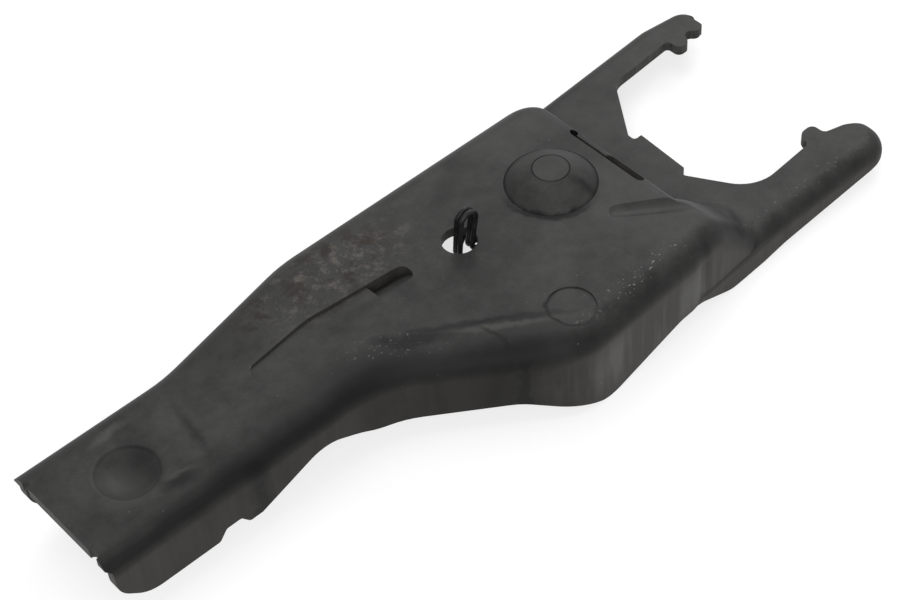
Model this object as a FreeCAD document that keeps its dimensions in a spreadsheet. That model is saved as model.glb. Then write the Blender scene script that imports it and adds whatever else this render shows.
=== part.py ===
import FreeCAD, Part
import math
import os
import Sketcher

# Clutch release fork: one drawn and pressed steel sheet and the wire spring that
# holds it on its ball stud.
# Frame: origin at the centre of the pivot ball, +X towards the bearing tines,
# +Y towards the straight side of the body, +Z up through the crown of the dome.

V = FreeCAD.Vector
doc = FreeCAD.newDocument("clutch_fork")
sheet = doc.addObject("Spreadsheet::Sheet", "sizes")

SIZES = [
    # sheet and levels
    ("gauge", 3.0),
    ("plate_top", 9.9),
    ("tine_drop", 15.7),
    ("press_depth", 30.0),
    ("edge_bend", 7.0),
    ("ridge_bend", 4.0),
    ("tine_bend", 5.0),
    ("valley_bend", 3.0),
    ("shoulder_start", 0.0),
    ("shoulder_top", 20.0),
    ("shoulder_foot", 36.0),
    ("shoulder_end", 46.0),
    ("shoulder_near", -44.0),
    ("shoulder_far", -21.0),
    ("shoulder_round", 12.0),
    ("shoulder_bend", 6.5),
    ("shoulder_fade", 9.0),
    ("shoulder_turn", 3.6),
    ("shoulder_shift", 1.2),
    ("under_valley_near", -33.0),
    ("under_valley_far", 23.0),
    # plan of the arm and the body
    ("arm_end", -155.6),
    ("blank_end", -175.0),
    ("blank_round", 9.0),
    ("arm_near", -18.5),
    ("arm_far", 20.3),
    ("flare_near_start", -74.3),
    ("flare_near_round", 30.0),
    ("belly_x", -33.2),
    ("belly_y", -46.8),
    ("belly_round", 22.0),
    ("ridge_x", 20.0),
    ("near_corner_y", -43.4),
    ("near_corner_round", 14.0),
    ("body_far", 30.0),
    ("far_corner_round", 9.0),
    ("flare_far_end", -68.0),
    ("flare_far_start", -112.0),
    ("flare_far_round", 45.0),
    # plan of the tines
    ("tine_root_near_x", 2.0),
    ("tine_root_near_y", -34.0),
    ("tine_near_start", 8.0),
    ("tine_near_start_y", -43.9),
    ("tine_near_mid", 46.0),
    ("tine_near_mid_y", -41.5),
    ("tine_near", -41.2),
    ("tine_near_round", 60.0),
    ("tip_x", 89.6),
    ("tip_near_round", 8.0),
    ("tip_far_y", 38.0),
    ("tip_far_round", 6.0),
    ("tine_far_bulge_back", 16.6),
    ("tine_far_bulge_y", 39.8),
    ("tine_far_bulge_round", 15.0),
    ("tine_far_start", 26.0),
    ("tine_far_start_y", 36.4),
    ("tine_far_round", 12.0),
    ("tine_root_far_x", 4.0),
    ("tine_root_far_y", 26.0),
    # throat between the tines
    ("throat_open", 20.0),
    ("throat_near", -28.5),
    ("throat_near_x", 48.1),
    ("throat_near_round", 12.0),
    ("throat_near_peg_y", -26.8),
    ("throat_far", 27.7),
    ("throat_far_x", 51.0),
    ("throat_far_round", 6.0),
    ("notch_near_x", 37.7),
    ("notch_near_y", -11.3),
    ("notch_far_x", 38.4),
    ("notch_far_y", 9.9),
    ("notch_round", 1.0),
    ("tab_near_x", 40.0),
    ("tab_near", -9.6),
    ("tab_far_x", 41.0),
    ("tab_far", 7.5),
    ("tine_far_inner_tip", 29.6),
    ("tip_far_inner_y", 26.6),
    ("tip_far_inner_back", 6.3),
    ("tip_far_cut", 3.0),
    ("tip_far_cut_low", 27.6),
    ("tip_far_cut_y", 33.5),
    ("tip_near_inner_y", -32.8),
    ("peg_near_back", 19.0),
    ("peg_far_back", 15.6),
    ("peg_width", 6.2),
    ("peg_far_width", 3.8),
    ("peg_near_tip", -22.4),
    ("peg_far_tip", 25.0),
    ("peg_round", 1.8),
    ("peg_chamfer_round", 3.2),
    # pivot dome
    ("dome_radius", 15.7),
    ("dome_flat_height", 5.0),
    ("groove", 0.5),
    ("groove_depth", 0.3),
    ("dome_foot", 12.2),
    ("crown_ring", 4.9),
    # push rod seat
    ("seat_x", -136.0),
    ("seat_depth", 3.4),
    ("seat_ball_radius", 11.1),
    ("seat_mouth", 3.0),
    # window for the spring
    ("window_x", -31.0),
    ("window_y", 1.1),
    ("window_radius", 4.7),
    # stiffening recess on the arm
    ("recess_left", -96.8),
    ("recess_right", -46.6),
    ("recess_mid", -76.0),
    ("recess_near", -2.4),
    ("recess_far", 5.0),
    ("recess_bow", 7.6),
    ("recess_round", 3.3),
    ("recess_mid_round", 20.0),
    ("recess_depth", 1.3),
    ("pocket_left", -58.0),
    ("pocket_near", -0.2),
    ("pocket_round", 2.3),
    ("pocket_depth", 7.6),
    ("recess_margin", 4.0),
    ("tool_reach", 40.0),
    # gusset bead beside the dome, and the coined marks
    ("bead_x", 4.5),
    ("bead_y", -19.5),
    ("bead_radius", 3.8),
    ("bead_start_depth", 0.8),
    ("bead_run", 26.0),
    ("bead_turn", 35.0),
    ("bead_pitch", 2.2),
    ("disc_x", -26.3),
    ("disc_y", -34.7),
    ("disc_radius", 6.3),
    ("disc_depth", 0.35),
    # lanced slot along the ridge
    ("slot_x", 16.2),
    ("slot_gap", 1.25),
    ("slot_wide_gap", 2.6),
    ("slot_near", -15.0),
    ("slot_wide_end", -4.0),
    ("slot_far", 9.5),
    ("lip_drop", 0.8),
    ("slot_relief", 1.1),
    # lower edge of the flanges, as depths below the plate, and their ends
    ("arm_foot", 18.9),
    ("arm_foot_start", -146.5),
    ("flange_end", -154.2),
    ("flange_end_step", 3.2),
    ("arm_heel_depth", 12.0),
    ("arm_heel_round", 8.0),
    ("arm_toe_round", 10.0),
    ("bite_left", -125.8),
    ("bite_right", -116.8),
    ("bite_depth", 3.0),
    ("bite_round", 1.2),
    ("bite_slope", 2.3),
    ("arm_foot_end", -113.0),
    ("waist_x", -92.5),
    ("waist_foot", 10.8),
    ("flare_foot_x", -77.0),
    ("flare_foot", 18.2),
    ("step_foot_x", -46.5),
    ("belly_foot_x", -24.0),
    ("belly_foot", 26.9),
    ("dip_x", 3.0),
    ("dip_foot", 20.8),
    ("dip_end_x", 11.0),
    ("tine_foot_x", 24.0),
    ("tine_foot", 26.0),
    ("tine_foot_end", 37.0),
    ("tip_foot_back", 9.6),
    ("tip_foot", 22.6),
    ("tip_end_foot", 20.6),
    ("foot_round", 12.0),
    ("relief_y", 13.4),
    ("relief_radius", 1.3),
    # retaining spring
    ("wire", 1.5),
    ("wire_gap", 0.05),
    ("wire_sides", 8),
    ("bend_step", 18.0),
    ("outer_leg_x", -32.8),
    ("hump_left", -31.4),
    ("inner_leg_x", -28.8),
    ("leg_round", 1.7),
    ("hump_right", -26.3),
    ("hump_height", 9.6),
    ("hump_round", 2.45),
    ("pair_pitch", 1.55),
    ("tongue_x", -18.5),
    ("tongue_half", 2.3),
    ("leg_out_x", -12.0),
    ("leg_out_y", 13.0),
    ("leg_low_x", 3.0),
    ("leg_low_y", 13.6),
    ("leg_low_z", 2.2),
    ("leg_end_x", 10.0),
    ("leg_end_y", 10.8),
    ("leg_end_z", -0.6),
    ("leg_bow", 4.0),
]

for row, (alias, value) in enumerate(SIZES, start=1):
    sheet.set("A%d" % row, alias)
    sheet.set("B%d" % row, "%g" % value)
    sheet.setAlias("B%d" % row, alias)
doc.recompute()


def size(alias):
    return float(sheet.get(alias))


def terms(text):
    """The words of a sum such as 'peg_x + peg_width', with their signs."""
    sign = 1.0
    for word in text.replace("-", " - ").replace("+", " + ").split():
        if word in "+-":
            sign = 1.0 if word == "+" else -1.0
        else:
            yield sign, word
            sign = 1.0


def value(text):
    return sum(sign * size(word) for sign, word in terms(text))


def bound(text):
    """The same sum written for the expression engine."""
    words = [("+" if sign > 0 else "-") + " sizes." + word for sign, word in terms(text)]
    return " ".join(words).lstrip("+ ")


def add(kind, name, **links):
    """A document object whose sizes follow the sheet."""
    thing = doc.addObject(kind, name)
    for key, text in links.items():
        thing.setExpression(key.replace("_", "."), bound(text))
    return thing


def place(thing, *places):
    """Binds the position of a thing; None leaves a coordinate at zero."""
    for axis, text in zip("xyz", places):
        if text:
            thing.setExpression("Placement.Base." + axis, bound(text))
    return thing


def ball(name, radius, x, y, z):
    return place(add("Part::Sphere", name, Radius=radius), x, y, z)


def rod(name, radius, height, x, y, z):
    return place(add("Part::Cylinder", name, Radius=radius, Height=height), x, y, z)


def box(name, x, y, z, length, width, height):
    return place(add("Part::Box", name, Length=length, Width=width, Height=height), x, y, z)


# ---- sketches whose sharp corners and corner rounds are bound to the sheet ----
UPRIGHT = {
    "plan": FreeCAD.Rotation(),
    "side": FreeCAD.Rotation(V(1, 0, 0), 90),
    "cross": FreeCAD.Rotation(V(1, 1, 1), 120),
}


def corner_sketch(name, corners, plane="plan"):
    sketch = doc.addObject("Sketcher::SketchObject", name)
    sketch.Placement = FreeCAD.Placement(V(0, 0, 0), UPRIGHT[plane])
    places = [V(value(x), value(y), 0) for x, y, r in corners]
    rounds = [value(r) if r else 0.0 for x, y, r in corners]
    count = len(corners)
    entry, leave, centre, turn = [], [], [], []
    for i in range(count):
        here = places[i]
        back = (here - places[i - 1]).normalize()
        ahead = (places[(i + 1) % count] - here).normalize()
        swing = back.getAngle(ahead)
        cut = rounds[i] * math.tan(swing / 2)
        left = back.cross(ahead).z > 0
        side_way = V(-back.y, back.x, 0) if left else V(back.y, -back.x, 0)
        entry.append(here - back * cut)
        leave.append(here + ahead * cut)
        centre.append(here - back * cut + side_way * rounds[i])
        turn.append(left)
    lines = []
    for i in range(count):
        j = (i + 1) % count
        lines.append(sketch.addGeometry(Part.LineSegment(leave[i], entry[j]), False))
    for i, (x, y, r) in enumerate(corners):
        before, after = lines[i - 1], lines[i]
        if r:
            first, last = (entry[i], leave[i]) if turn[i] else (leave[i], entry[i])
            a = math.atan2(first.y - centre[i].y, first.x - centre[i].x)
            b = math.atan2(last.y - centre[i].y, last.x - centre[i].x)
            circle = Part.Circle(centre[i], V(0, 0, 1), rounds[i])
            arc = sketch.addGeometry(Part.ArcOfCircle(circle, a, b if b > a else b + 2 * math.pi), False)
            start, end = (1, 2) if turn[i] else (2, 1)
            sketch.addConstraint(Sketcher.Constraint("Tangent", before, 2, arc, start))
            sketch.addConstraint(Sketcher.Constraint("Tangent", arc, end, after, 1))
            n = sketch.addConstraint(Sketcher.Constraint("Radius", arc, rounds[i]))
            sketch.setExpression("Constraints[%d]" % n, bound(r))
            corner = sketch.addGeometry(Part.Point(places[i]), True)
            sketch.addConstraint(Sketcher.Constraint("PointOnObject", corner, 1, before))
            sketch.addConstraint(Sketcher.Constraint("PointOnObject", corner, 1, after))
            held = (corner, 1)
        else:
            sketch.addConstraint(Sketcher.Constraint("Coincident", before, 2, after, 1))
            held = (after, 1)
        for kind, text, number in (("DistanceX", x, places[i].x), ("DistanceY", y, places[i].y)):
            n = sketch.addConstraint(Sketcher.Constraint(kind, -1, 1, held[0], held[1], number))
            sketch.setExpression("Constraints[%d]" % n, bound(text))
    doc.recompute()
    if sketch.State and "Invalid" in sketch.State:
        raise ValueError(name + " does not solve")
    return sketch


plan_body = corner_sketch("plan_body", [
    ("blank_end", "arm_near", "blank_round"),
    ("flare_near_start", "arm_near", "flare_near_round"),
    ("belly_x", "belly_y", "belly_round"),
    ("ridge_x", "near_corner_y", "near_corner_round"),
    ("ridge_x", "body_far", "far_corner_round"),
    ("flare_far_end", "body_far", "flare_far_round"),
    ("flare_far_start", "arm_far", "flare_far_round"),
    ("blank_end", "arm_far", "blank_round"),
])

plan_tines = corner_sketch("plan_tines", [
    ("tine_root_near_x", "tine_root_near_y", None),
    ("tine_near_start", "tine_near_start_y", None),
    ("tine_near_mid", "tine_near_mid_y", "tine_near_round"),
    ("tip_x", "tine_near", "tip_near_round"),
    ("tip_x", "tip_far_y", "tip_far_round"),
    ("tip_x - tine_far_bulge_back", "tine_far_bulge_y", "tine_far_bulge_round"),
    ("tine_far_start", "tine_far_start_y", "tine_far_round"),
    ("tine_root_far_x", "tine_root_far_y", None),
])


# ---- the drawn form: an outer and an inner skin one gauge apart ----
def block(name, sketch, low, top, inset=None):
    """A plan raised between two levels, inset by a sum of sizes when one is given."""
    source = sketch
    if inset:
        source = add("Part::Offset2D", name + "_plan", Value=inset)
        source.Source = sketch
        source.Join = "Intersection"
    solid = doc.addObject("Part::Extrusion", name)
    solid.Base = source
    solid.DirMode = "Custom"
    solid.Dir = V(0, 0, 1)
    solid.Solid = True
    solid.setExpression("LengthFwd", bound(top) + " - (" + bound(low) + ")")
    solid.setExpression("Placement.Base.z", bound(low))
    doc.recompute()
    return solid


def rounded(name, base, pick):
    """Bend radii given edge by edge: pick(edge) returns the radii at its two ends."""
    bend = doc.addObject("Part::Fillet", name)
    bend.Base = base
    chosen = []
    for number, edge in enumerate(base.Shape.Edges, start=1):
        radii = pick(edge)
        if radii:
            chosen.append((number, radii[0], radii[1]))
    bend.Edges = chosen
    doc.recompute()
    if not bend.Shape.isValid() or bend.Shape.isNull():
        raise ValueError(name + " does not round")
    return bend


def level(edge, z):
    return abs(edge.BoundBox.ZMin - z) < 1e-4 and abs(edge.BoundBox.ZMax - z) < 1e-4


def body_bends(top, ridge, side_radius, ridge_radius):
    """Wide bends along the flanges that tighten round the corners to the ridge."""
    def pick(edge):
        if not level(edge, top):
            return None
        box = edge.BoundBox
        if box.XMin > ridge - 0.01:
            return ridge_radius, ridge_radius
        if box.XMax > ridge - 0.01:
            starts_at_ridge = edge.valueAt(edge.FirstParameter).x > ridge - 0.1
            return (ridge_radius, side_radius) if starts_at_ridge else (side_radius, ridge_radius)
        return side_radius, side_radius
    return pick


def tine_bends(top, root, radius):
    def pick(edge):
        return (radius, radius) if level(edge, top) and edge.BoundBox.XMax > root else None
    return pick


def valley(z, wall_x, radius):
    def pick(edge):
        box = edge.BoundBox
        on_wall = abs(box.XMin - wall_x) < 0.01 and abs(box.XMax - wall_x) < 0.01
        along = level(edge, z) and on_wall and box.YLength > size("tool_reach")
        return (radius, radius) if along else None
    return pick


gauge, top, ridge = size("gauge"), size("plate_top"), size("ridge_x")
tine_top = top - size("tine_drop")
root = max(size("tine_root_near_x"), size("tine_root_far_x"))

body_out = block("body_block", plan_body, "plate_top - press_depth", "plate_top")
side, front, tine_edge = size("edge_bend"), size("ridge_bend"), size("tine_bend")
deep = "plate_top - press_depth"

body_out = block("body_block", plan_body, deep, "plate_top")
body_out = rounded("body_bends", body_out, body_bends(top, ridge, side, front))
body_in = block("body_hollow", plan_body, deep + " - gauge", "plate_top - gauge", "-gauge")
body_in = rounded("body_hollow_bends", body_in,
                  body_bends(top - gauge, ridge - gauge, side - gauge, front - gauge))
tine_out = block("tine_block", plan_tines, deep, "plate_top - tine_drop")
tine_out = rounded("tine_bends", tine_out, tine_bends(tine_top, root, tine_edge))
tine_in = block("tine_hollow", plan_tines, deep + " - gauge", "plate_top - tine_drop - gauge", "-gauge")
tine_in = rounded("tine_hollow_bends", tine_in,
                  tine_bends(tine_top - gauge, root + gauge + gauge, tine_edge - gauge))


def join(name, *shapes, kind="Part::MultiFuse"):
    thing = doc.addObject(kind, name)
    thing.Shapes = list(shapes)
    if kind == "Part::MultiFuse":
        thing.Refine = True
    doc.recompute()
    return thing


def cut(name, base, tool):
    thing = doc.addObject("Part::Cut", name)
    thing.Base, thing.Tool = base, tool
    doc.recompute()
    return thing


def shoulder(name, inset):
    """The slope that carries the near bend down from the body to the tine."""
    drop, back = (" - gauge", " - shoulder_shift") if inset else ("", "")
    slope = corner_sketch(name + "_slope", [
        ("shoulder_start" + drop, "plate_top - press_depth" + drop, None),
        ("shoulder_start" + drop, "plate_top" + drop, None),
        ("shoulder_top" + back, "plate_top" + drop, "shoulder_round"),
        ("shoulder_foot" + back, "plate_top - tine_drop" + drop, "shoulder_round"),
        ("shoulder_end", "plate_top - tine_drop" + drop, None),
        ("shoulder_end", "plate_top - press_depth" + drop, None),
    ], plane="side")
    near, far = "shoulder_near", "shoulder_far"
    if inset:
        near, far = near + " + gauge", far + " - gauge"
    solid = doc.addObject("Part::Extrusion", name)
    solid.Base = slope
    solid.DirMode = "Custom"
    solid.Dir = V(0, 1, 0)
    solid.Solid = True
    solid.setExpression("LengthFwd", bound(far) + " - (" + bound(near) + ")")
    solid.Placement = FreeCAD.Placement(V(0, 0, 0), FreeCAD.Rotation(V(0, 0, 1), size("shoulder_turn")))
    solid.setExpression("Placement.Base.y", bound(near))
    doc.recompute()
    floor = value("plate_top - press_depth" + drop)
    thinner = gauge if inset else 0.0
    middle = value(near + " + shoulder_bend + shoulder_bend")

    def along_the_slope(edge):
        box = edge.BoundBox
        upright = box.ZMin < floor + size("gauge")
        across = box.YLength > size("gauge") + size("gauge")
        if upright or across:
            return None
        bend = size("shoulder_bend") if box.Center.y < middle else size("shoulder_fade")
        return bend - thinner, bend - thinner
    return rounded(name + "_bends", solid, along_the_slope)


shoulder_out = shoulder("shoulder", False)
shoulder_in = shoulder("shoulder_hollow", True)
skin_out = rounded("outer_bent", join("outer_joined", body_out, tine_out),
                   valley(tine_top, ridge, size("valley_bend")))
skin_out = join("outer_skin", skin_out, shoulder_out)
# the bend under the valley, concentric with the fillet above it
under_valley = box("under_valley_block", "ridge_x - gauge - gauge", "under_valley_near",
                   "plate_top - tine_drop - gauge - gauge", "gauge + gauge + valley_bend",
                   "under_valley_far - under_valley_near", "gauge + gauge + valley_bend")
bend_core = add("Part::Cylinder", "under_valley_core", Radius="valley_bend + gauge",
                Height="tool_reach + tool_reach + tool_reach")
bend_core.Placement = FreeCAD.Placement(V(0, 0, 0), FreeCAD.Rotation(V(1, 0, 0), -90))
place(bend_core, "ridge_x + valley_bend", "-tool_reach - gauge", "plate_top - tine_drop + valley_bend")
doc.recompute()
skin_in = join("inner_skin", body_in, tine_in, shoulder_in, cut("under_valley", under_valley, bend_core))


# ---- pressed details: each is worked into both skins, so the gauge stays the same ----
dome = join("dome", ball("dome_ball", "dome_radius", None, None, None),
            rod("dome_crown", "dome_foot", "dome_flat_height + gauge", None, None, "plate_top - gauge"),
            kind="Part::MultiCommon")
socket = ball("socket_ball", "dome_radius - gauge", None, None, None)

# push rod seat: a round dimple, hollow from above
seat_level = "plate_top + seat_ball_radius - seat_depth"
seat_out = ball("seat_ball", "seat_ball_radius", "seat_x", None, seat_level)
seat_in = ball("seat_back", "seat_ball_radius + gauge", "seat_x", None, seat_level)

# stiffening recess: steep on the far side, running out towards the near side
plan_recess = corner_sketch("plan_recess", [
    ("recess_left", "recess_near", "recess_round"),
    ("recess_right", "pocket_near", "pocket_round"),
    ("recess_right", "recess_far", "pocket_round"),
    ("recess_mid", "recess_bow", "recess_mid_round"),
    ("recess_left", "recess_far", "recess_round"),
])


plan_pocket = corner_sketch("plan_pocket", [
    ("pocket_left", "pocket_near - gauge - gauge", None),
    ("recess_right + recess_margin", "pocket_near - gauge - gauge", None),
    ("recess_right + recess_margin", "recess_bow + recess_margin", None),
    ("pocket_left", "recess_bow + recess_margin", None),
])


def ramp(name, near, depth, drop):
    """The wedge over a sloping floor that starts at a near side."""
    slope = corner_sketch(name + "_slope", [
        (near, "plate_top" + drop, None),
        ("recess_bow + recess_margin", "plate_top - " + depth + drop, None),
        ("recess_bow + recess_margin", "plate_top + recess_margin", None),
        (near, "plate_top + recess_margin", None),
    ], plane="cross")
    solid = doc.addObject("Part::Extrusion", name)
    solid.Base = slope
    solid.DirMode = "Custom"
    solid.Dir = V(1, 0, 0)
    solid.Solid = True
    solid.setExpression("LengthFwd", bound("tool_reach + tool_reach"))
    solid.setExpression("Placement.Base.x", bound("recess_left - gauge - gauge"))
    return solid


def recess_tool(name, inset, drop):
    """The shallow run and the deeper pocket at its right end, as one tool."""
    low, high = "plate_top - tool_reach", "plate_top + gauge"
    whole = block(name + "_plan", plan_recess, low, high, inset)
    run = join(name + "_run", whole, ramp(name + "_run_floor", "recess_near", "recess_depth", drop),
               kind="Part::MultiCommon")
    deep_plan = block(name + "_pocket_plan", plan_pocket, low, high, inset)
    floor = ramp(name + "_pocket_floor", "pocket_near", "pocket_depth", drop)
    pocket = join(name + "_pocket", whole, deep_plan, floor, kind="Part::MultiCommon")
    return join(name, run, pocket)


recess_out = recess_tool("recess_cut", None, "")
recess_in = recess_tool("recess_back", "gauge", " - gauge")


def leaning_rod(name, radius, x, y, depth, run, turn, pitch):
    """A round-ended groove tool that leaves the plate at a small slope."""
    reach = add("Part::Cylinder", name + "_run", Radius=radius, Height=run)
    nose = add("Part::Sphere", name + "_nose", Radius=radius)
    heading = FreeCAD.Rotation(V(0, 0, 1), -size(turn)) * FreeCAD.Rotation(V(0, 1, 0), 90 + value(pitch))
    for piece in (reach, nose):
        piece.Placement = FreeCAD.Placement(V(0, 0, 0), heading)
        place(piece, x, y, depth)
    return join(name, reach, nose)


bead_out = leaning_rod("bead_cut", "bead_radius", "bead_x", "bead_y",
                       "plate_top + bead_radius - bead_start_depth", "bead_run", "bead_turn", "bead_pitch")
bead_in = leaning_rod("bead_back", "bead_radius + gauge", "bead_x", "bead_y",
                      "plate_top + bead_radius - bead_start_depth", "bead_run", "bead_turn", "bead_pitch")
disc_low = rod("disc_floor", "disc_radius", "gauge", "disc_x", "disc_y", "plate_top - disc_depth")


def groove(name, radius, level_z):
    """A shallow V groove turned round the dome's axis."""
    section = corner_sketch(name + "_section", [
        (radius + " - groove", level_z + " + groove", None),
        (radius, level_z + " - groove_depth", None),
        (radius + " + groove", level_z + " + groove", None),
    ], plane="side")
    turned = doc.addObject("Part::Revolution", name)
    turned.Source = section
    turned.Axis = V(0, 0, 1)
    turned.Base = V(0, 0, 0)
    turned.Angle = 360.0
    turned.Solid = True
    doc.recompute()
    return turned


foot_ring = groove("dome_groove", "dome_foot", "plate_top")
crown_ring = groove("crown_groove", "crown_ring", "plate_top + dome_flat_height")


def mouth_round(edge):
    """Rounds the rim where the seat meets the plate."""
    around_seat = edge.BoundBox.Center.distanceToPoint(V(size("seat_x"), 0, top)) < size("gauge")
    return (size("seat_mouth"), size("seat_mouth")) if around_seat and level(edge, top) else None


outer = join("outer_domed", skin_out, dome)
outer = cut("outer_seated", outer, seat_out)
outer = rounded("seat_mouth", outer, mouth_round)
outer = cut("outer_form", outer, join("outer_marks", recess_out, bead_out, disc_low, foot_ring, crown_ring))
inner = cut("inner_pressed", skin_in, join("inner_marks", seat_in, recess_in, bead_in))
inner = join("inner_form", inner, socket)
pressed = cut("pressed_sheet", outer, inner)

# ---- what the trimming dies cut away ----
profile = corner_sketch("flange_profile", [
    ("blank_end - tool_reach", "plate_top + tool_reach", None),
    ("arm_end", "plate_top + tool_reach", None),
    ("arm_end", "plate_top - flange_end_step", None),
    ("flange_end", "plate_top - flange_end_step - relief_radius", None),
    ("flange_end", "plate_top - arm_heel_depth", "arm_heel_round"),
    ("arm_foot_start", "plate_top - arm_foot", "arm_toe_round"),
    ("bite_left", "plate_top - arm_foot", "bite_round"),
    ("bite_left + bite_slope", "plate_top - arm_foot + bite_depth", "bite_round"),
    ("bite_right - bite_slope", "plate_top - arm_foot + bite_depth", "bite_round"),
    ("bite_right", "plate_top - arm_foot", "bite_round"),
    ("arm_foot_end", "plate_top - arm_foot", None),
    ("waist_x", "plate_top - waist_foot", "foot_round"),
    ("flare_foot_x", "plate_top - flare_foot", "foot_round"),
    ("step_foot_x", "plate_top - flare_foot", "foot_round"),
    ("belly_foot_x", "plate_top - belly_foot", "foot_round"),
    ("dip_x", "plate_top - dip_foot", "foot_round"),
    ("dip_end_x", "plate_top - dip_foot", "foot_round"),
    ("tine_foot_x", "plate_top - tine_foot", "foot_round"),
    ("tine_foot_end", "plate_top - tine_foot", "foot_round"),
    ("tip_x - tip_foot_back", "plate_top - tip_foot", "foot_round"),
    ("tip_x", "plate_top - tip_end_foot", None),
    ("tip_x + tool_reach", "plate_top - tip_end_foot", None),
    ("tip_x + tool_reach", "plate_top - press_depth - tool_reach", None),
    ("blank_end - tool_reach", "plate_top - press_depth - tool_reach", None),
], plane="side")
trim = doc.addObject("Part::Extrusion", "flange_trim")
trim.Base = profile
trim.DirMode = "Custom"
trim.Dir = V(0, 1, 0)
trim.Solid = True
trim.Symmetric = True
trim.setExpression("LengthFwd", bound("tool_reach + tool_reach + tool_reach"))

plan_throat = corner_sketch("plan_throat", [
    ("tip_x + throat_open", "tip_near_inner_y", None),
    ("tip_x", "tip_near_inner_y", "peg_round"),
    ("tip_x - peg_near_back + peg_width + peg_width", "throat_near", "throat_far_round"),
    ("tip_x - peg_near_back + peg_width", "throat_near_peg_y", "peg_round"),
    ("tip_x - peg_near_back + peg_width", "peg_near_tip", "peg_round"),
    ("tip_x - peg_near_back", "peg_near_tip", "peg_chamfer_round"),
    ("tip_x - peg_near_back", "throat_near_peg_y", "bite_round"),
    ("throat_near_x", "throat_near", "throat_near_round"),
    ("notch_near_x", "notch_near_y", "notch_round"),
    ("tab_near_x", "tab_near", None),
    ("tab_far_x", "tab_far", None),
    ("notch_far_x", "tab_far", "notch_round"),
    ("notch_far_x", "notch_far_y", "notch_round"),
    ("throat_far_x", "throat_far", "throat_far_round"),
    ("tip_x - peg_far_back", "tine_far_inner_tip", "bite_round"),
    ("tip_x - peg_far_back", "peg_far_tip", "peg_round"),
    ("tip_x - peg_far_back + peg_far_width", "peg_far_tip", "peg_round"),
    ("tip_x - peg_far_back + peg_width", "tine_far_inner_tip", "peg_round"),
    ("tip_x - tip_far_inner_back", "tip_far_inner_y", "peg_round"),
    ("tip_x - tip_far_cut", "tip_far_cut_low", "peg_round"),
    ("tip_x - tip_far_cut", "tip_far_cut_y", None),
    ("tip_x + throat_open", "tip_far_cut_y", None),
])
throat = block("throat_cut", plan_throat, "plate_top - press_depth - gauge", "plate_top + tool_reach")

plan_slot = corner_sketch("plan_slot", [
    ("slot_x", "slot_near", None),
    ("slot_x + slot_wide_gap", "slot_near", None),
    ("slot_x + slot_wide_gap", "slot_wide_end", "slot_relief"),
    ("slot_x + slot_gap", "slot_wide_end + slot_relief", "slot_relief"),
    ("slot_x + slot_gap", "slot_far", None),
    ("slot_x", "slot_far", None),
])
slot = block("slot_cut", plan_slot, "plate_top - gauge - gauge", "plate_top + gauge")
lip = box("lip_cut", "slot_x", "slot_wide_end + slot_relief", "plate_top - lip_drop",
          "ridge_x - slot_x + gauge", "slot_far - slot_wide_end - slot_relief", "lip_drop + gauge")


def hole(name, radius, x, y):
    """A round cutter that goes right through the plate."""
    return rod(name, radius, "gauge + gauge + gauge + gauge", x, y, "plate_top - gauge - gauge")


holes = [
    hole("slot_relief_far", "slot_relief", "slot_x + slot_gap", "slot_far"),
    hole("slot_relief_near", "slot_relief", "slot_x + slot_gap", "slot_near"),
    hole("spring_window", "window_radius", "window_x", "window_y"),
    hole("end_relief_far", "relief_radius", "arm_end", "relief_y"),
    hole("end_relief_near", "relief_radius", "arm_end", "-relief_y"),
]
trims = join("trims", trim, throat, slot, lip, *holes)

fork = cut("fork", pressed, trims)
fork.Label = "fork"


# ---- retaining spring: one length of wire, alike on both sides ----
def path(points):
    """Straight runs joined by bends in short steps; each point is x, y, z and its bend radius."""
    spots = [V(*p[:3]) for p in points]
    corners = [spots[0]]
    for before, spot, after, point in zip(spots, spots[1:], spots[2:], points[1:]):
        back = (before - spot).normalize()
        ahead = (after - spot).normalize()
        half = back.getAngle(ahead) / 2
        inward = (back + ahead).normalize()
        onward = (ahead - back).normalize()
        centre = spot + inward * (point[3] / math.sin(half))
        swing = math.pi - 2 * half
        steps = math.ceil(swing / math.radians(size("bend_step")))
        reach = point[3] / math.cos(swing / steps / 2)
        for step in range(steps):
            turn = (step + 0.5) * swing / steps - swing / 2
            corners.append(centre - inward * (reach * math.cos(turn)) + onward * (reach * math.sin(turn)))
    corners.append(spots[-1])
    return corners


under = value("plate_top - gauge - wire_gap") - size("wire") / 2
crest = value("plate_top + hump_height")
pair = size("pair_pitch") / 2
half_path = [
    (size("leg_end_x"), size("leg_end_y"), size("leg_end_z"), 0),
    (size("leg_low_x"), size("leg_low_y"), size("leg_low_z"), size("leg_bow")),
    (size("leg_out_x"), size("leg_out_y"), under, size("leg_bow")),
    (size("outer_leg_x"), pair, under, size("leg_round")),
    (size("hump_left"), pair, crest, size("hump_round")),
    (size("hump_right"), pair, crest, size("hump_round")),
    (size("inner_leg_x"), pair, under, size("leg_round")),
    (size("tongue_x"), size("tongue_half"), under, size("tongue_half") * 0.98),
]
mirrored = [(x, -y, z, r) for x, y, z, r in reversed(half_path)]
corners = path(half_path + mirrored)
runs = [(after - before).normalize() for before, after in zip(corners, corners[1:])]
headings = [(before + after).normalize() for before, after in zip([runs[0]] + runs, runs + [runs[-1]])]
rings, facing, last = [], FreeCAD.Rotation(V(0, 0, 1), headings[0]), headings[0]
for corner, heading in zip(corners, headings):
    facing, last = FreeCAD.Rotation(last, heading) * facing, heading
    ring = doc.addObject("Part::RegularPolygon", "wire_ring")
    ring.Polygon = int(size("wire_sides"))
    ring.setExpression("Circumradius", "sizes.wire / 2")
    ring.Placement = FreeCAD.Placement(corner, facing)
    rings.append(ring)
spring = doc.addObject("Part::Loft", "retaining_spring")
spring.Sections = rings
spring.Solid = True
spring.Ruled = True
spring.Label = "retaining_spring"
doc.recompute()

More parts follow.
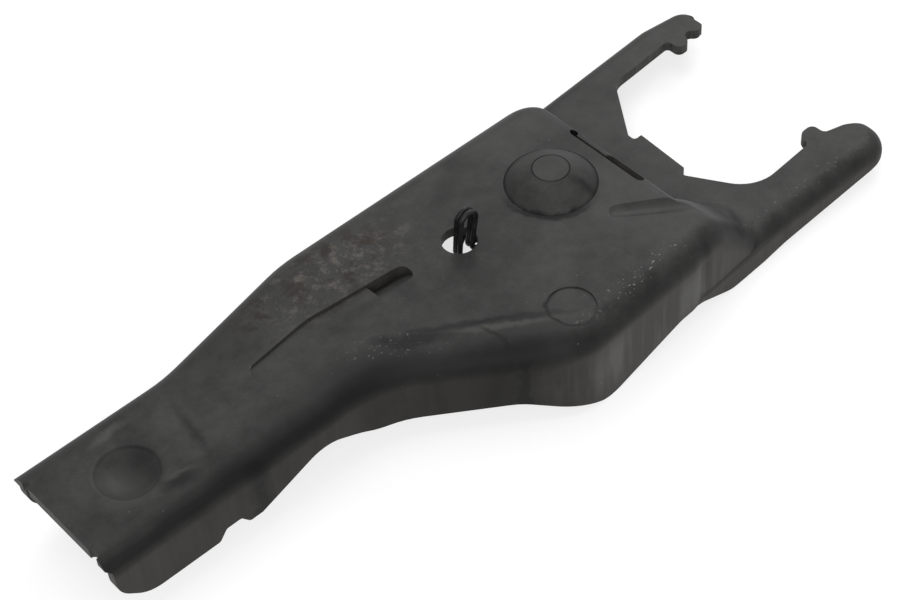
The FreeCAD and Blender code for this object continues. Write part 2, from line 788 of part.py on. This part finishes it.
# ---- checks on the document, then one file per piece ----
for thing in doc.Objects:
    if "Invalid" in thing.State or "Error" in thing.State:
        raise ValueError(thing.Name + " is not built: " + ", ".join(thing.State))
os.makedirs("parts", exist_ok=True)
for piece in (fork, spring):
    if piece.Shape.isNull() or not piece.Shape.isValid():
        raise ValueError(piece.Label + " is not a valid solid")
    piece.Shape.exportStep("parts/" + piece.Label + ".step")
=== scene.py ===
# %% [markdown]
# # A pressed-steel clutch fork, dressed for its picture
# The part is a lever from a gearbox: one sheet of steel, pressed to shape and
# blackened, with a small wire spring beside its pivot. The solid model is already
# exact, so this lesson only adds what a solid model lacks: softened rims, a finer
# spring, steel that looks handled, a floor, lamps and a camera.
# The first cell opens the solid model. Everything is in metres from here on.

# %% Open the solid model
import math

import bmesh
import bpy
from mathutils import Matrix, Vector


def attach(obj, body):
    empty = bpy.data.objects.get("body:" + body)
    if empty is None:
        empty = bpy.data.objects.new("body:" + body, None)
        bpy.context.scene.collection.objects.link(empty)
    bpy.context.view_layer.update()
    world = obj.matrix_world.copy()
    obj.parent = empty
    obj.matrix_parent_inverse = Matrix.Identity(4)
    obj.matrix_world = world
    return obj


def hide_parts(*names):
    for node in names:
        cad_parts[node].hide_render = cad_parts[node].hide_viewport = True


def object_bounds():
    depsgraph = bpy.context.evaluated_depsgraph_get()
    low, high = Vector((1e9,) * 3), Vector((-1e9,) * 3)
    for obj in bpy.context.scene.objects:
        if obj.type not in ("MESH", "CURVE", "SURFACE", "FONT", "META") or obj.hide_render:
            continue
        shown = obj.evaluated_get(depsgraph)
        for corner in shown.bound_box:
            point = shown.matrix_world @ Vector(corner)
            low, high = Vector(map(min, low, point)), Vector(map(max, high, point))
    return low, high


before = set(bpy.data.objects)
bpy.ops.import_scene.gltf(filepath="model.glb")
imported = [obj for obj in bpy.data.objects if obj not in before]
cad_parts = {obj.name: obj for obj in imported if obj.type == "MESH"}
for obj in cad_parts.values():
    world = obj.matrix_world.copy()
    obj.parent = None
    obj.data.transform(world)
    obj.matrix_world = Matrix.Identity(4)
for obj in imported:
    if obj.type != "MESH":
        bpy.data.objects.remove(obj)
box_low, box_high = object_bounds()
MM = 0.001
scene = bpy.context.scene

# %% [markdown]
# ## Shader sums written as plain expressions
# A finish is mostly arithmetic: a patch times a strength, one minus a mask. Blender
# does that with Math nodes, one node for each sign. The class below wraps one socket
# and turns `a * b` into such a node, so that a finish reads as a formula. Every other
# node comes from `Finish.node`, which takes the node's type, its settings and its inputs.
# A finish is a material of its own; the world uses the same class for its sky.

# %% A socket that can be added and multiplied
class Value:
    def __init__(self, finish, socket):
        self.finish = finish
        self.socket = socket

    def math(self, operation, *others):
        return self.finish.node("ShaderNodeMath", {"operation": operation}, *others)

    def __add__(self, other):
        return self.math("ADD", self, other)

    def __mul__(self, other):
        return self.math("MULTIPLY", self, other)

    def __sub__(self, other):
        return self.math("SUBTRACT", self, other)

    def __rsub__(self, other):
        return self.math("SUBTRACT", other, self)

    def __abs__(self):
        return self.math("ABSOLUTE", self)

    __radd__ = __add__
    __rmul__ = __mul__


# %% A finish: one material, or the world, and its nodes
class Finish:
    def __init__(self, name, owner=None):
        self.material = owner or bpy.data.materials.new(name)
        self.material.use_nodes = True
        self.tree = self.material.node_tree
        self.tree.nodes.clear()

    def node(self, kind, settings, *inputs, output=0, **named):
        made = self.tree.nodes.new(kind)
        for key, wanted in settings.items():
            setattr(made, key, wanted)
        pairs = list(enumerate(inputs))
        pairs += [(key.replace("_", " "), given) for key, given in named.items()]
        for key, given in pairs:
            if isinstance(given, Value):
                self.tree.links.new(given.socket, made.inputs[key])
            else:
                made.inputs[key].default_value = given
        return Value(self, made.outputs[output])

    def end(self, kind, surface):
        """The output node, which takes the finished surface."""
        self.tree.links.new(surface.socket, self.tree.nodes.new(kind).inputs["Surface"])


print("shader sums ready")

# %% [markdown]
# ## Patterns that a blackened pressing shows
# Oxide is a thin dark skin on bare steel. It is cloudy over centimetres, speckled
# over tenths of a millimetre, and rubbed where the sheet slid through the press.
# All patterns read Object coordinates, so they stay put on the steel. The helpers
# here make clouds, streaks (clouds stretched along one axis) and soft steps.

# %% Pattern helpers
def coordinates(finish):
    return finish.node("ShaderNodeTexCoord", {}, output="Object")


def stretched(finish, place, scale, turn=(0.0, 0.0, 0.0)):
    return finish.node("ShaderNodeMapping", {"vector_type": "POINT"}, Vector=place,
                       Rotation=turn, Scale=scale)


def clouds(finish, place, size, detail=3.0, roughness=0.55):
    """Soft grey noise between 0 and 1; size is the width of one cloud in metres."""
    return finish.node("ShaderNodeTexNoise", {}, Vector=place, Scale=1.0 / size,
                       Detail=detail, Roughness=roughness)


def between(finish, value, low, high):
    """0 below low, 1 above high and a straight slope between them."""
    return finish.node("ShaderNodeMapRange", {"clamp": True}, value, low, high, 0.0, 1.0)


def along_axis(finish, place, axis):
    return finish.node("ShaderNodeSeparateXYZ", {}, place, output=axis)


print("pattern helpers ready")

# %% [markdown]
# ## The fork: rims softened like sheared sheet
# A press shears a sheet with a rolled-over rim on one side and a fine burr on the
# other, so no edge of the real fork is knife sharp. The solid model's edges are.
# The mesh is copied, its loose triangles are joined, and a Bevel modifier rounds
# each sharp edge by a quarter of a millimetre. Weighted normals keep the flats flat.
# The faces that the bevel adds get a slot of their own, for the rubbed rim finish.

# %% Join the loose triangles of the solid
JOIN_WITHIN = 0.002 * MM


def joined_copy(node, name):
    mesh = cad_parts[node].data.copy()
    work = bmesh.new()
    work.from_mesh(mesh)
    bmesh.ops.remove_doubles(work, verts=work.verts, dist=JOIN_WITHIN)
    work.to_mesh(mesh)
    work.free()
    mesh.materials.clear()
    mesh.name = name
    made = bpy.data.objects.new(name, mesh)
    scene.collection.objects.link(made)
    return made


def plain(made):
    """The evaluated result of an object's modifiers as its own mesh, modifiers gone."""
    evaluated = made.evaluated_get(bpy.context.evaluated_depsgraph_get())
    mesh = bpy.data.meshes.new_from_object(evaluated)
    made.modifiers.clear()
    made.data = mesh
    return made


pressing = joined_copy("fork", "fork_pressing")
print("fork_pressing", len(pressing.data.vertices), "corners joined")

# %% Finishes are listed first, so that the rims can name theirs
OUTER, SHEARED, RIM = 0, 1, 2
oxide = Finish("black_oxide_sheet")
sheared = Finish("sheared_edge")
rim = Finish("rubbed_rim")
for finish in (oxide, sheared, rim):
    pressing.data.materials.append(finish.material)
print("slots", [slot.name for slot in pressing.data.materials])

# %% Find the sheared faces
# The skins of the sheet are large smooth islands; the sheared faces lie between them.
SHARP = math.radians(38)


def islands(work):
    """Groups of faces that no sharp edge parts."""
    left, groups = set(work.faces), []
    while left:
        group, front = [], [left.pop()]
        while front:
            face = front.pop()
            group.append(face)
            for edge in face.edges:
                if edge.is_manifold and edge.calc_face_angle() < SHARP:
                    for other in edge.link_faces:
                        if other in left:
                            left.remove(other)
                            front.append(other)
        groups.append(group)
    return sorted(groups, key=lambda group: -sum(face.calc_area() for face in group))


def bordering(group, owner):
    """The numbers of the islands that lie along a group's edges."""
    return {owner[other] for face in group for edge in face.edges for other in edge.link_faces}


work = bmesh.new()
work.from_mesh(pressing.data)
skins = islands(work)
owner = {face: number for number, group in enumerate(skins) for face in group}
sheared_count = 0
for number, group in enumerate(skins):
    parts_the_skins = number > 1 and {0, 1} <= bordering(group, owner)
    sheared_count += parts_the_skins
    for face in group:
        face.material_index = SHEARED if parts_the_skins else OUTER
        face.smooth = True
print("islands in mm2", [round(sum(f.calc_area() for f in g) * 1e6) for g in skins[:6]])
print("sheared islands", sheared_count, "of", len(skins))
work.to_mesh(pressing.data)
work.free()

# %% Round the rims
RIM_ROUND = 0.28 * MM
softening = pressing.modifiers.new("rims", "BEVEL")
softening.limit_method = "ANGLE"
softening.angle_limit = SHARP
softening.width = RIM_ROUND
softening.segments = 2
softening.material = RIM
softening.use_clamp_overlap = True
flatten = pressing.modifiers.new("flats", "WEIGHTED_NORMAL")
flatten.mode = "FACE_AREA_WITH_ANGLE"
flatten.weight = 80
plain(pressing)
print("fork_pressing", len(pressing.data.polygons), "faces with rounded rims")

# %% [markdown]
# ## The retaining spring: one wire bent along a path
# The spring is a single wire: two legs below the plate, two humps that rise through
# the round window, and a tongue that joins them. Its shape follows a path, so a
# small Geometry Nodes tree makes it: corners are filleted, and a round section is
# swept along the result. The corners and their bend radii are the solid model's. The
# wire is a hair thinner, so that its round humps stay inside the solid model's box.

# %% The wire's corners, in millimetres
WIRE = 1.48
UNDER = 6.1
CREST = 19.5
BEND_STEPS = 14
WIRE_SIDES = 20
half_path = [
    (10.0, 10.8, -0.6, 0.0),
    (3.0, 13.6, 2.2, 4.0),
    (-12.0, 13.0, UNDER, 4.0),
    (-32.8, 0.775, UNDER, 1.7),
    (-31.4, 0.775, CREST, 2.45),
    (-26.3, 0.775, CREST, 2.45),
    (-28.8, 0.775, UNDER, 1.7),
    (-18.5, 2.3, UNDER, 2.25),
]
corners = half_path + [(x, -y, z, bend) for x, y, z, bend in reversed(half_path)]


def corner_line(name, spots):
    mesh = bpy.data.meshes.new(name)
    links = [(i, i + 1) for i in range(len(spots) - 1)]
    mesh.from_pydata([Vector(spot[:3]) * MM for spot in spots], links, [])
    bend = mesh.attributes.new("bend", "FLOAT", "POINT")
    for item, spot in zip(bend.data, spots):
        item.value = spot[3] * MM
    made = bpy.data.objects.new(name, mesh)
    scene.collection.objects.link(made)
    return made


spring = corner_line("retaining_spring_wire", corners)
print("wire corners", len(corners))

# %% The tree that bends and sweeps the wire
wire_steel = Finish("spring_wire_oxide")
form = bpy.data.node_groups.new("wire_form", "GeometryNodeTree")
face_in = form.interface.new_socket("Geometry", in_out="INPUT", socket_type="NodeSocketGeometry")
radius_in = form.interface.new_socket("Wire radius", in_out="INPUT", socket_type="NodeSocketFloat")
sides_in = form.interface.new_socket("Sides", in_out="INPUT", socket_type="NodeSocketInt")
form.interface.new_socket("Geometry", in_out="OUTPUT", socket_type="NodeSocketGeometry")


def form_node(kind, settings, **links):
    made = form.nodes.new(kind)
    for key, wanted in settings.items():
        setattr(made, key, wanted)
    for key, given in links.items():
        key = key.replace("_", " ")
        if isinstance(given, bpy.types.NodeSocket):
            form.links.new(given, made.inputs[key])
        else:
            made.inputs[key].default_value = given
    return made


entry = form_node("NodeGroupInput", {})
line = form_node("GeometryNodeMeshToCurve", {}, Mesh=entry.outputs["Geometry"])
bend = form_node("GeometryNodeInputNamedAttribute", {"data_type": "FLOAT"}, Name="bend")
round_line = form_node("GeometryNodeFilletCurve", {"mode": "POLY"},
                       Curve=line.outputs[0], Radius=bend.outputs["Attribute"],
                       Count=BEND_STEPS, Limit_Radius=True)
ring = form_node("GeometryNodeCurvePrimitiveCircle", {"mode": "RADIUS"},
                 Radius=entry.outputs["Wire radius"], Resolution=entry.outputs["Sides"])
swept = form_node("GeometryNodeCurveToMesh", {}, Curve=round_line.outputs[0],
                  Profile_Curve=ring.outputs[0], Fill_Caps=True)
soft = form_node("GeometryNodeSetShadeSmooth", {}, Geometry=swept.outputs[0])
real = form_node("GeometryNodeRealizeInstances", {}, Geometry=soft.outputs[0])
painted = form_node("GeometryNodeSetMaterial", {}, Geometry=real.outputs[0],
                    Material=wire_steel.material)
leave = form_node("NodeGroupOutput", {}, Geometry=painted.outputs[0])
print("wire_form", len(form.nodes), "nodes")

# %% Sweep it
bender = spring.modifiers.new("wire_form", "NODES")
bender.node_group = form
bender[radius_in.identifier] = WIRE / 2 * MM
bender[sides_in.identifier] = WIRE_SIDES
plain(spring)
print("retaining_spring_wire", len(spring.data.polygons), "faces")

# %% [markdown]
# ## Blackened steel
# Every finish ends in the same shader: a dark base colour, a satin roughness, some
# metal and a fine bump. Only the patterns that feed them differ, so one helper
# closes each finish. Its specular level is low, because oxide shines less than paint.

# %% The closing shader
OXIDE_GLOSS = 0.16


def close(finish, colour, roughness, metal, height, depth):
    bump = finish.node("ShaderNodeBump", {}, Strength=1.0, Distance=depth * MM, Height=height)
    shader = finish.node("ShaderNodeBsdfPrincipled", {}, Base_Color=colour, Metallic=metal,
                         Roughness=roughness, Normal=bump, Specular_IOR_Level=OXIDE_GLOSS)
    finish.end("ShaderNodeOutputMaterial", shader)


def blend(finish, amount, first, second):
    """A mix of two colours, each plain or linked; an amount of 1 gives the second."""
    made = finish.tree.nodes.new("ShaderNodeMix")
    made.data_type = "RGBA"
    finish.tree.links.new(amount.socket, made.inputs[0])
    for index, given in ((6, first), (7, second)):
        if isinstance(given, Value):
            finish.tree.links.new(given.socket, made.inputs[index])
        else:
            made.inputs[index].default_value = (*given, 1.0)
    return Value(finish, made.outputs[2])


BLACK = (0.004, 0.004, 0.004)
BEND_SHADE = (0.008, 0.008, 0.008)
DARK = (0.020, 0.020, 0.0195)
MID = (0.042, 0.042, 0.041)
PALE = (0.076, 0.075, 0.071)
BARE = (0.24, 0.24, 0.23)
FLANK = (0.046, 0.043, 0.039)
BURNISHED = (0.10, 0.10, 0.095)
BROWN = (0.016, 0.012, 0.009)
THIN = (0.125, 0.112, 0.096)
print("closing shader and colours ready")

# %% [markdown]
# ## The sheet's oxide: where it lies flat, bends or hangs
# The bends are painted dark, a painted shade for the dark band that the light leaves on
# them. The surface's own tilt shows where they are, so no map has to be painted. The
# painted shade is deepest along the arm and fades towards the tines. The flanges hang
# straight down: the die drew fine lines on them and left them browner, and they are
# also painted a little lighter, a painted light from the front. The dome and the seat tilt
# too, but are no bends, so soft ovals keep them out. A Mapping node shrinks each oval to
# a ball of radius one, and the length of the result then tells inside from outside.

# %% Soft ovals and thin hoops on the part
FREE = 1000.0


def oval(finish, place, centre, half, turn=0.0, edge=0.4):
    """1 inside and 0 outside; centre and half sizes in mm, turn in degrees.

    With two numbers each, the oval is a column that is free along Z.
    """
    spot = [number * MM for number in centre] + [0.0] * (3 - len(centre))
    reach = [number * MM for number in half] + [FREE] * (3 - len(half))
    inside = finish.node("ShaderNodeMapping", {"vector_type": "TEXTURE"}, Vector=place,
                         Location=spot, Rotation=(0.0, 0.0, math.radians(turn)), Scale=reach)
    away = finish.node("ShaderNodeVectorMath", {"operation": "LENGTH"}, inside, output=1)
    return 1.0 - between(finish, away, 1.0 - edge, 1.0 + edge)


def hoop(finish, place, centre, radius, width):
    """1 on a thin circle round a point of the plate; all in mm."""
    spot = (centre[0] * MM, centre[1] * MM, 0.0)
    inside = finish.node("ShaderNodeMapping", {"vector_type": "TEXTURE"}, Vector=place,
                         Location=spot, Scale=(radius * MM, radius * MM, FREE))
    away = finish.node("ShaderNodeVectorMath", {"operation": "LENGTH"}, inside, output=1)
    slope = 1.0 - abs(away - 1.0) * (radius / width)
    return slope.math("MAXIMUM", slope, 0.0)


def at_most(value, most):
    return value.math("MINIMUM", value, most)


print("ovals and hoops ready")

# %% Where the sheet lies flat, bends or hangs
DOME = (0.0, 0.0)
SEAT = (-136.0, 0.0)
DISC = (-26.3, -34.7)
place = coordinates(oxide)
tilt = oxide.node("ShaderNodeTexCoord", {}, output="Normal")
upright = abs(along_axis(oxide, tilt, "Z"))
hanging = 1.0 - between(oxide, upright, 0.08, 0.36)
on_dome = oval(oxide, place, DOME, (13.0, 13.0), edge=0.04)
on_seat = oval(oxide, place, SEAT, (11.5, 11.5), edge=0.08)
uneven = upright + clouds(oxide, place, 0.011, detail=4.0) * 0.24 - 0.12
bend_shade_band = between(oxide, uneven, 0.10, 0.50) * (1.0 - between(oxide, uneven, 0.70, 1.02))
bend_shade_band = bend_shade_band * (1.0 - on_dome) * (1.0 - on_seat)
towards_arm = between(oxide, 0.0 - along_axis(oxide, place, "X"), 22.0 * MM, 50.0 * MM)
print("tilt masks ready")

# %% [markdown]
# ## The sheet's oxide: its clouds and grain
# Large clouds, small mottling and a fine grain make the skin. On the flanges the same
# noise is stretched down the sheet, which turns clouds into the lines of the die. A
# slow ripple is added to the coordinates of the marks below, so their outlines waver.

# %% Noises of the oxide
cloud_bank = clouds(oxide, place, 0.032, detail=4.0)
mottle = clouds(oxide, place, 0.0065, detail=6.0, roughness=0.62)
grain = clouds(oxide, place, 0.00050, detail=2.0)
drawn = clouds(oxide, stretched(oxide, place, (1.0, 1.0, 0.045)), 0.0016, detail=4.0)
bands = clouds(oxide, stretched(oxide, place, (1.0, 1.0, 0.10)), 0.0060, detail=3.0)
speck = clouds(oxide, place, 0.0010, detail=3.0)
flecks = clouds(oxide, place, 0.0028, detail=6.0, roughness=0.7)
RIPPLES_PER_METRE = 260.0
RIPPLE_REACH = 3.0 * MM
swirl = oxide.node("ShaderNodeTexNoise", {}, Vector=place, Scale=RIPPLES_PER_METRE,
                   output="Color")
ripple = oxide.node("ShaderNodeVectorMath", {"operation": "SUBTRACT"}, swirl, (0.5, 0.5, 0.5))
waved = oxide.node("ShaderNodeVectorMath", {"operation": "MULTIPLY_ADD"}, ripple,
                   (RIPPLE_REACH, RIPPLE_REACH, 0.0), place)
print("noises ready")

# %% [markdown]
# ## The sheet's oxide: marks that sit at one place
# A crease runs along the near side of the plate; its shade and a highlight on its lip are
# painted. Shade is painted along the foot of the dome, the seat's rim, the crown ring and
# the coined disc, over the plate above the bends, at the end of the ridge and on the seat's
# far wall, with light on its near wall; handling left scuffs, stains and specks.
# They could be painted on an image, but soft ovals and hoops are small, sharp at any
# distance and easy to move. Beside the recess the oxide is thin and pale brown, and
# the flange at the widest corner, which touches whatever lies next to it, is rubbed.

# %% Bright marks in their places
specks = oval(oxide, place, (-8.0, -38.8), (18.0, 2.6), 3.5) * 0.8
specks = specks + oval(oxide, place, (-66.0, -14.0), (14.0, 3.6), -32.0) * 0.25
specks = specks + oval(oxide, place, (55.0, -36.0), (30.0, 2.2), 0.0) * 0.3
specks = specks * between(oxide, speck, 0.62, 0.69) + between(oxide, speck, 0.74, 0.78) * 0.5
worn_corner = oval(oxide, place, (-12.0, -44.0, -5.0), (32.0, 8.0, 9.0))
thin_skin = oval(oxide, place, (-60.0, 16.5), (22.0, 10.5), 4.0)
along = stretched(oxide, place, (0.05, 1.0, 1.0), (0.0, 0.0, 0.5))
long_scratch = clouds(oxide, along, 0.0008, detail=1.0)
scratches = between(oxide, long_scratch, 0.72, 0.76) * between(oxide, mottle, 0.50, 0.62)
print("bright marks placed")

# %% Painted shade, painted light and dark marks in their places
def add_marks(finish, marks):
    """The sum of several ovals; each is a place, centre, half sizes, turn and strength."""
    total = None
    for where, centre, half, turn, strength in marks:
        mark = oval(finish, where, centre, half, turn, 0.7) * strength
        total = mark if total is None else total + mark
    return total


stain_and_ridge_shade = oval(oxide, place, (-68.0, 15.5), (27.0, 10.0), 4.0) * between(oxide, mottle, 0.50, 0.62)
# Painted shade at the far end of the ridge, where the step below lies in shadow; the oval above is
# a real stain.
stain_and_ridge_shade = stain_and_ridge_shade + oval(oxide, waved, (22.5, 19.5), (1.8, 5.0), 20.0) * 0.7
foot_shadow = hoop(oxide, waved, DOME, 13.1, 1.5)
foot_shadow = foot_shadow * oval(oxide, place, (-9.0, -8.0), (11.0, 11.0), 0.0) * 1.5
# Painted shade along the edge of the coined disc, darkest on its left.
disc_shade_line = hoop(oxide, waved, DISC, 6.3, 0.8)
disc_shade_line = disc_shade_line * (oval(oxide, place, (-32.0, -34.0), (7.0, 7.0)) * 0.75 + 0.25)
# Painted shade along the seat's rim and in the dome's crown ring.
seat_rim_shade = hoop(oxide, place, SEAT, 7.8, 0.6)
crown_ring_shade = hoop(oxide, place, DOME, 4.9, 0.45)
shade_and_dark_marks = disc_shade_line + crown_ring_shade * 0.4 + foot_shadow + seat_rim_shade * 0.45
shade_and_dark_marks = shade_and_dark_marks + add_marks(oxide, (
    # Painted shade of the crease along the plate's near side.
    (waved, (-43.2, -24.8), (15.0, 0.8), -34.0, 0.95),
    (waved, (-60.2, -16.7), (6.5, 2.0), -30.0, 0.7),
    (waved, (-67.0, -10.5), (2.4, 1.4), -30.0, 0.5),
    (waved, (3.2, -8.6), (2.6, 1.2), -60.0, 0.7),
    # Painted shade in the valley where the near tine meets the step.
    (waved, (34.8, -33.2), (4.0, 0.9), 60.0, 0.8),
    # Painted shade on the seat's far wall.
    (place, (-131.5, 3.3), (4.6, 3.4), 45.0, 0.6),
    (waved, (-46.0, -31.0), (0.5, 6.0), 5.0, 0.8),
    (waved, (-50.0, -37.5), (5.0, 0.5), -10.0, 0.7),
    (waved, (-117.5, -0.5), (7.0, 1.1), 80.0, 0.6),
    (waved, (-128.6, -10.5), (4.0, 1.8), -10.0, 0.7),
    (waved, (-112.4, -18.1), (2.6, 1.2), 0.0, 0.5),
    (waved, (-21.5, 17.1), (9.0, 2.6), 30.0, 0.35),
    # Painted shade: the dark band of the bends, carried up over the plate along the arm.
    (waved, (-102.0, -15.0), (36.0, 5.0), 0.0, 0.55),
    (waved, (-62.0, -24.0), (26.0, 6.0), -34.0, 0.6),
    (waved, (-42.0, -37.0), (12.0, 4.0), -24.0, 0.5),
    # Painted shade of a small wrinkle in the near flange.
    (place, (13.5, -43.0, 0.0), (1.4, 6.0, 7.0), 0.0, 0.6),
))
highlights_and_pale_marks = add_marks(oxide, (
    # Painted highlight on the crease's near lip.
    (waved, (-44.2, -26.6), (12.0, 0.8), -34.0, 0.5),
    (waved, (-132.7, 12.5), (4.5, 1.0), 5.0, 0.6),
    # Painted highlight along the edge of the dark scuff beside the seat.
    (waved, (-127.6, -9.0), (3.0, 0.8), -10.0, 0.8),
    # Painted light on the seat's near wall.
    (place, (-139.5, -2.5), (5.0, 5.0), 0.0, 0.35),
))
print("dark and pale marks placed")

# %% Oxide on the skins of the sheet
colour = blend(oxide, between(oxide, cloud_bank * 0.5 + mottle * 0.5, 0.40, 0.60), DARK, MID)
colour = blend(oxide, between(oxide, grain, 0.58, 0.80) * 0.25, colour, PALE)
colour = blend(oxide, thin_skin * between(oxide, flecks, 0.50, 0.64) * 0.6, colour, THIN)
colour = blend(oxide, at_most(stain_and_ridge_shade, 0.85), colour, BROWN)
colour = blend(oxide, scratches * 0.30, colour, PALE)
# Partly painted light: the hanging flanks are painted lighter, as lit from the front, and a little
# browner.
colour = blend(oxide, hanging * 0.80, colour, FLANK)
colour = blend(oxide, between(oxide, bands, 0.45, 0.70) * hanging * 0.5, colour, BROWN)
streaks = between(oxide, drawn, 0.40, 0.75) * hanging
rubbed_bare = worn_corner * hanging * between(oxide, bands, 0.42, 0.56)
colour = blend(oxide, streaks * 0.10 + rubbed_bare * 0.55, colour, BURNISHED)
# Painted shade: the bends are painted dark, deepest along the arm.
colour = blend(oxide, bend_shade_band * (0.34 + towards_arm * 0.52), colour, BEND_SHADE)
# Painted highlights and painted light, with pale scuffs.
colour = blend(oxide, at_most(highlights_and_pale_marks, 0.8), colour, PALE)
# Painted shade and shadow, with some dark marks.
colour = blend(oxide, at_most(shade_and_dark_marks, 0.9), colour, BLACK)
colour = blend(oxide, at_most(specks, 0.9), colour, BARE)
roughness = 0.44 + mottle * 0.16 - rubbed_bare * 0.10
metal = 0.12 + bend_shade_band * 0.25
height = grain * 0.5 + mottle * 0.8 + drawn * hanging * 0.5 + flecks * thin_skin * 0.6
close(oxide, colour, roughness, metal, height, 0.045)
print("black_oxide_sheet", len(oxide.tree.nodes), "nodes")

# %% [markdown]
# ## Sheared faces and rubbed rims
# The cut face of a sheet is smooth where the punch burnished it and torn below that.
# At this size the eye only sees short lines across the thickness and a paler tone.
# The rounded rims keep a smooth, slightly brown skin. Inside the slot and at the end
# of the ridge a soft oval paints the skin black: painted shade, where the gap and the
# foot of the step lie in shadow.

# %% Sheared faces
place = coordinates(sheared)
torn = clouds(sheared, stretched(sheared, place, (1.0, 1.0, 0.12)), 0.0007, detail=3.0)
blotch = clouds(sheared, place, 0.004, detail=3.0)
colour = blend(sheared, between(sheared, torn * 0.5 + blotch * 0.5, 0.35, 0.7), DARK, PALE)
# Painted shade inside the slot.
slot_shade = oval(sheared, place, (17.5, -3.0), (4.5, 17.0), edge=0.1)
colour = blend(sheared, slot_shade, colour, BLACK)
close(sheared, colour, 0.5 + torn * 0.12, 0.35, torn, 0.05)
print("sheared_edge", len(sheared.tree.nodes), "nodes")

# %% Rubbed rims
place = coordinates(rim)
rubbed = clouds(rim, place, 0.003, detail=4.0)
colour = blend(rim, between(rim, rubbed, 0.45, 0.70), DARK, FLANK)
# Painted shade at the end of the ridge, where the step below lies in shadow.
ridge_end_shade = oval(rim, place, (20.0, -22.0), (5.0, 12.0))
colour = blend(rim, ridge_end_shade, colour, BLACK)
close(rim, colour, 0.48 + rubbed * 0.1, 0.1, rubbed, 0.02)
print("rubbed_rim", len(rim.tree.nodes), "nodes")

# %% [markdown]
# ## The spring's wire
# Spring wire is drawn smooth and blackened, so it is darker and glossier than the
# sheet. Two soft noises, one fine and one coarse, are all that it shows.

# %% Spring wire
place = coordinates(wire_steel)
drawn = clouds(wire_steel, place, 0.0006, detail=3.0)
skin = clouds(wire_steel, place, 0.004, detail=3.0)
colour = blend(wire_steel, between(wire_steel, skin, 0.35, 0.7), BLACK, DARK)
close(wire_steel, colour, 0.28 + drawn * 0.10, 0.0, drawn, 0.015)
print("finishes", [finish.material.name for finish in (oxide, sheared, rim, wire_steel)])

# %% [markdown]
# ## Tie the dressed pieces to the solid ones
# Each dressed piece stands for its solid, which is hidden, and moves with the one body
# of the part.

# %% Ride and replace
for piece, node in ((pressing, "fork"), (spring, "retaining_spring")):
    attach(piece, "root")
    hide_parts(node)
    print(piece.name, "stands for", node)

# %% [markdown]
# ## Floor, light and camera
# The floor is pale enough to vanish into the background, yet it keeps a faint
# shadow: part of its white is its own glow, which only rays that look can see, and the
# rest is lamp light. The world is white to the same rays and dim to the others, so the
# steel is lit by the three lamps and mirrors a white room.

# %% Rays that look, and rays that light
def seen_by(finish, *kinds):
    """1 for rays of the named kinds, 0 for the rays that carry light to the part."""
    rays = [finish.node("ShaderNodeLightPath", {}, output=kind) for kind in kinds]
    seen = rays[0]
    for ray in rays[1:]:
        seen = seen.math("MAXIMUM", seen, ray)
    return seen


print("ray test ready")

# %% Floor
FLOOR_GREY = 0.35
FLOOR_GLOW = 0.72
bpy.ops.mesh.primitive_plane_add(size=6.0, location=(0.0, 0.0, box_low.z - 0.1 * MM))
floor = bpy.context.object
floor.name = "floor"
pale = Finish("pale_floor")
seen = seen_by(pale, "Is Camera Ray", "Is Glossy Ray")
glow = blend(pale, seen, (0.0, 0.0, 0.0), (FLOOR_GLOW, FLOOR_GLOW, FLOOR_GLOW))
base = pale.node("ShaderNodeBsdfPrincipled", {}, Roughness=0.9, Specular_IOR_Level=0.0,
                 Base_Color=(FLOOR_GREY, FLOOR_GREY, FLOOR_GREY, 1.0),
                 Emission_Color=glow, Emission_Strength=1.0)
pale.end("ShaderNodeOutputMaterial", base)
floor.data.materials.append(pale.material)
print("floor at", round(floor.location.z, 4))

# %% World
SKY_LIGHT = 0.30
scene.world = bpy.data.worlds.new("studio")
sky = Finish("studio", scene.world)
seen = seen_by(sky, "Is Camera Ray", "Is Glossy Ray", "Is Transmission Ray")
level = sky.node("ShaderNodeMapRange", {}, seen, 0.0, 1.0, SKY_LIGHT, 1.0)
backdrop = sky.node("ShaderNodeBackground", {}, Color=(1.0, 1.0, 1.0, 1.0), Strength=level)
sky.end("ShaderNodeOutputWorld", backdrop)
print("sky lights the part at", SKY_LIGHT)


# %% Soft lamps
def lamp(name, spot, aim, watts, width):
    data = bpy.data.lights.new(name, "AREA")
    data.energy = watts
    data.size = width
    made = bpy.data.objects.new(name, data)
    made.location = spot
    made.rotation_mode = "QUATERNION"
    made.rotation_quaternion = (Vector(aim) - Vector(spot)).to_track_quat("-Z", "Y")
    scene.collection.objects.link(made)


MIDDLE = (-0.03, 0.0, 0.0)
lamp("key", (0.55, 0.35, 0.55), MIDDLE, 2.6, 0.45)
lamp("top", (-0.10, 0.10, 0.90), MIDDLE, 3.0, 0.7)
lamp("front", (-0.45, -0.60, 0.45), MIDDLE, 4.0, 0.6)

# %% [markdown]
# ## Camera
# The camera stands above the arm's end and looks down across the plate, with a long
# lens, so the far tines shrink only a little. Its three axes are given as directions.

# %% Camera
view = bpy.data.cameras.new("camera")
view.lens = 87.5
view.sensor_width = 36.0
view.sensor_fit = "HORIZONTAL"
camera = bpy.data.objects.new("camera", view)
right = Vector((0.7425, -0.6680, -0.0494))
up = Vector((0.5177, 0.5256, 0.6751))
back = right.cross(up)
camera.matrix_world = Matrix.Translation((-0.2754, -0.2964, 0.4066)) @ Matrix((
    right, up, back)).transposed().to_4x4()
scene.collection.objects.link(camera)
scene.camera = camera
scene.view_settings.view_transform = "Standard"
print("camera", [round(c, 3) for c in camera.location])

# %% [markdown]
# ## Finish
# The dressed part may not outgrow the solid one.

# %% Update the scene
bpy.context.view_layer.update()
